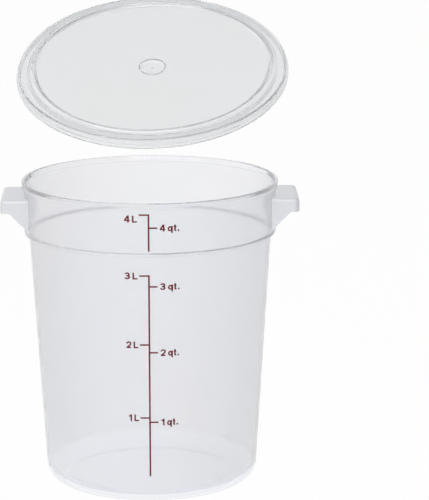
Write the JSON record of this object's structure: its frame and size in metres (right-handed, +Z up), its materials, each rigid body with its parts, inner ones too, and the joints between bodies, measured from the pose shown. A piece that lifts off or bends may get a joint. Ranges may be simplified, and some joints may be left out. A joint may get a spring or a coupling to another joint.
{
  "type": "dough proofing container",
  "caption": "Round tapered food container with two ear handles, a printed volume scale and a lift-off lid, for proofing and storing dough.",
  "frame": {"origin": "centre of the foot ring, on the plane that the container stands on", "axes": "+Z up, the printed scale faces -Y, the handles are at -X and +X"},
  "size_m": [0.208, 0.1985, 0.3358],
  "materials": {
    "container_plastic": "satin, frosted translucent polypropylene",
    "lid_plastic": "satin, frosted translucent polypropylene",
    "scale_ink": "matte dark red ink"
  },
  "bodies": {
    "container": {"container": "container_plastic", "left_handle": "container_plastic", "right_handle": "container_plastic", "printed_scale": "scale_ink"},
    "lid": {"lid": "lid_plastic"}
  },
  "joints": [
    {"name": "lid_lift", "type": "hinge", "parent": "container", "child": "lid", "pos_m": [0, -0.2091, 0.1993], "axis": [0.9961, -0.0738, -0.0492], "range_deg": [-23.65, 0]}
  ]
}
